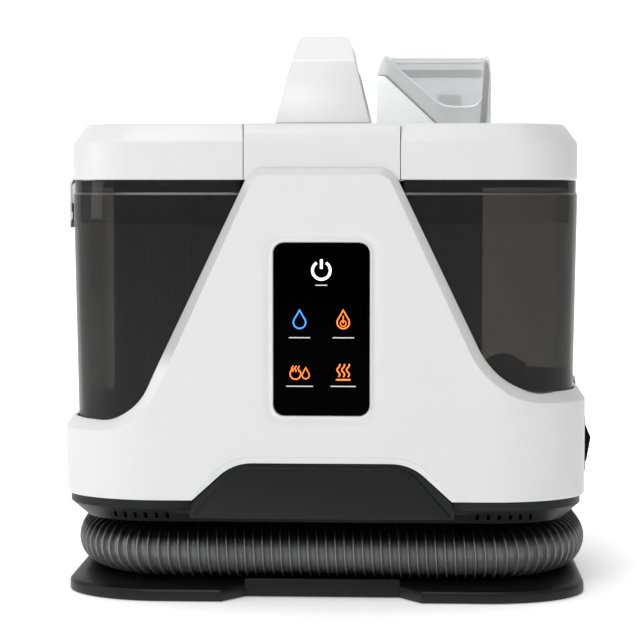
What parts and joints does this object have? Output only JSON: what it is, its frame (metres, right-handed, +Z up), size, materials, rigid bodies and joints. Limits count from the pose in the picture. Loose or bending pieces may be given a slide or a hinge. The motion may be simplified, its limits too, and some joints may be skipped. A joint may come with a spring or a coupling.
{
  "type": "portable carpet cleaner",
  "caption": "Portable spot cleaner with lift-out smoke tanks, arch-shaped white shell, touch panel, carry handle, docked hand tool and a ribbed hose wrapped round its waist.",
  "frame": {"origin": "centre of the footprint, on the floor", "axes": "+Z up, -Y towards the front panel, +X towards the clean water tank"},
  "size_m": [0.3531, 0.2511, 0.361],
  "materials": {
    "white_shell": "satin white moulding",
    "charcoal": "fine texture",
    "black": "satin",
    "rubber": "matte",
    "steel": "brushed",
    "alloy": "cast",
    "board": "solder mask",
    "glass_panel": "gloss black touch panel",
    "smoke_tank": "smoke tinted, see-through",
    "clear": "frosted, see-through",
    "grey": "satin",
    "hose_grey": "ribbed stretch hose"
  },
  "bodies": {
    "machine": {"base_plate": "black", "foot_front_left": "rubber", "foot_front_right": "rubber", "foot_rear_left": "rubber", "foot_rear_right": "rubber", "screw_front_left": "steel", "screw_front_right": "steel", "screw_rear_left": "steel", "screw_rear_right": "steel", "lower_housing": "charcoal", "hose_elbow": "charcoal", "service_panel": "charcoal", "front_shell": "white_shell", "rear_shell": "white_shell", "tank_deck": "charcoal", "spine_housing": "charcoal", "rear_housing": "charcoal", "top_deck": "white_shell", "carry_handle": "white_shell", "grip_insert": "rubber", "panel_glass": "glass_panel", "display_board": "board", "motor_mount": "rubber", "suction_motor": "steel", "fan_cover": "charcoal", "suction_duct": "grey", "water_pump": "black", "steam_boiler": "alloy", "main_board": "board", "water_tube": "clear", "switch_bezel": "black", "cord_gland": "rubber", "tool_cradle": "charcoal", "hose": "hose_grey"},
    "rocker": {"rocker_switch": "black"},
    "fan": {"fan_impeller": "alloy"},
    "clean_tank": {"clean_tank": "smoke_tank", "strainer_dome": "charcoal"},
    "clean_valve": {"clean_valve": "rubber"},
    "clean_lid": {"clean_lid": "white_shell", "clean_seal": "rubber"},
    "fill_cap": {"fill_cap": "charcoal"},
    "dirty_tank": {"dirty_tank": "smoke_tank", "stand_pipe": "charcoal", "float_cage": "charcoal"},
    "float": {"float_ball": "clear"},
    "dirty_lid": {"dirty_lid": "white_shell", "dirty_seal": "rubber", "latch_pin": "steel"},
    "lid_latch": {"lid_latch": "grey"},
    "hand_tool": {"tool_wand": "white_shell", "tool_cuff": "grey", "tool_nozzle": "clear", "tool_cover": "white_shell", "spray_tip": "charcoal"},
    "tool_trigger": {"tool_trigger": "charcoal"}
  },
  "joints": [
    {"name": "rocker_hinge", "type": "hinge", "parent": "machine", "child": "rocker", "pos_m": [0.169, -0.034, 0.0925], "axis": [0, 1, 0], "range_deg": [0, 14]},
    {"name": "fan_spin", "type": "hinge", "parent": "machine", "child": "fan", "pos_m": [-0.066, 0, 0.058], "axis": [0, 0, 1], "continuous": true},
    {"name": "clean_tank_lift", "type": "slide", "parent": "machine", "child": "clean_tank", "axis": [0, 0, 1], "range_m": [0, 0.18]},
    {"name": "clean_valve_lift", "type": "slide", "parent": "clean_tank", "child": "clean_valve", "axis": [0, 0, 1], "range_m": [0, 0.003], "stiffness_N_per_m": 300, "springref_m": -0.003},
    {"name": "clean_lid_lift", "type": "slide", "parent": "clean_tank", "child": "clean_lid", "axis": [0, 0, 1], "range_m": [0, 0.08]},
    {"name": "fill_cap_lift", "type": "slide", "parent": "clean_lid", "child": "fill_cap", "axis": [0, 0, 1], "range_m": [0, 0.03]},
    {"name": "dirty_tank_lift", "type": "slide", "parent": "machine", "child": "dirty_tank", "axis": [0, 0, 1], "range_m": [0, 0.18]},
    {"name": "float_rise", "type": "slide", "parent": "dirty_tank", "child": "float", "axis": [0, 0, 1], "range_m": [0, 0.05]},
    {"name": "dirty_lid_lift", "type": "slide", "parent": "dirty_tank", "child": "dirty_lid", "axis": [0, 0, 1], "range_m": [0, 0.08]},
    {"name": "latch_hinge", "type": "hinge", "parent": "dirty_lid", "child": "lid_latch", "pos_m": [-0.1625, -0.036, 0.277], "axis": [0, 1, 0], "range_deg": [0, 40]},
    {"name": "tool_undock", "type": "slide", "parent": "machine", "child": "hand_tool", "axis": [0, 1, 0], "range_m": [0, 0.12]},
    {"name": "trigger_hinge", "type": "hinge", "parent": "hand_tool", "child": "tool_trigger", "pos_m": [0.085, 0.1125, 0.256], "axis": [-1, 0, 0], "range_deg": [0, 9], "stiffness_Nm_per_rad": 0.4, "springref_deg": -6.88}
  ]
}
